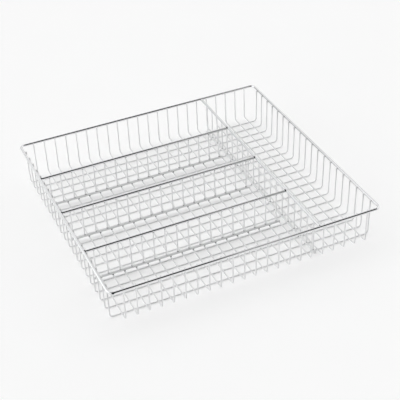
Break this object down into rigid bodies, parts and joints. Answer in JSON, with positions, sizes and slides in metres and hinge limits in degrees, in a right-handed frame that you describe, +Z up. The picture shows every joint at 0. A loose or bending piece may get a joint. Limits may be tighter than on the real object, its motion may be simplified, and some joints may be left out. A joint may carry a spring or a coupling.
{
  "type": "cutlery tray",
  "caption": "Welded wire cutlery tray with a thick rim, a mesh floor and walls, and upright wire dividers that make long and wide compartments.",
  "frame": {"origin": "centre of the footprint, on the surface that the lowest wires stand on", "axes": "+X to the right along the front edge, towards the full-depth compartment; +Y from the front to the back; +Z up out of the open top"},
  "size_m": [0.4, 0.385, 0.0585],
  "materials": {
    "rim_wire": "bright chrome plating on steel wire",
    "mesh_wire": "bright chrome plating on thin steel wire",
    "divider": "bright chrome plating on welded steel wire"
  },
  "bodies": {
    "root": {"rim_wire": "rim_wire", "front_back_wire_01": "mesh_wire", "front_back_wire_02": "mesh_wire", "front_back_wire_03": "mesh_wire", "front_back_wire_04": "mesh_wire", "front_back_wire_05": "mesh_wire", "front_back_wire_06": "mesh_wire", "front_back_wire_07": "mesh_wire", "front_back_wire_08": "mesh_wire", "front_back_wire_09": "mesh_wire", "front_back_wire_10": "mesh_wire", "front_back_wire_11": "mesh_wire", "front_back_wire_12": "mesh_wire", "front_back_wire_13": "mesh_wire", "front_back_wire_14": "mesh_wire", "front_back_wire_15": "mesh_wire", "front_back_wire_16": "mesh_wire", "front_back_wire_17": "mesh_wire", "front_back_wire_18": "mesh_wire", "front_back_wire_19": "mesh_wire", "front_back_wire_20": "mesh_wire", "front_back_wire_21": "mesh_wire", "front_back_wire_22": "mesh_wire", "left_right_wire_01": "mesh_wire", "left_right_wire_02": "mesh_wire", "left_right_wire_03": "mesh_wire", "left_right_wire_04": "mesh_wire", "left_right_wire_05": "mesh_wire", "left_right_wire_06": "mesh_wire", "left_right_wire_07": "mesh_wire", "left_right_wire_08": "mesh_wire", "left_right_wire_09": "mesh_wire", "left_right_wire_10": "mesh_wire", "left_right_wire_11": "mesh_wire", "left_right_wire_12": "mesh_wire", "left_right_wire_13": "mesh_wire", "left_right_wire_14": "mesh_wire", "left_right_wire_15": "mesh_wire", "left_right_wire_16": "mesh_wire", "left_right_wire_17": "mesh_wire", "left_right_wire_18": "mesh_wire", "left_right_wire_19": "mesh_wire", "left_right_wire_20": "mesh_wire", "long_divider_1": "divider", "long_divider_2": "divider", "long_divider_3": "divider", "cross_divider": "divider"}
  },
  "joints": []
}
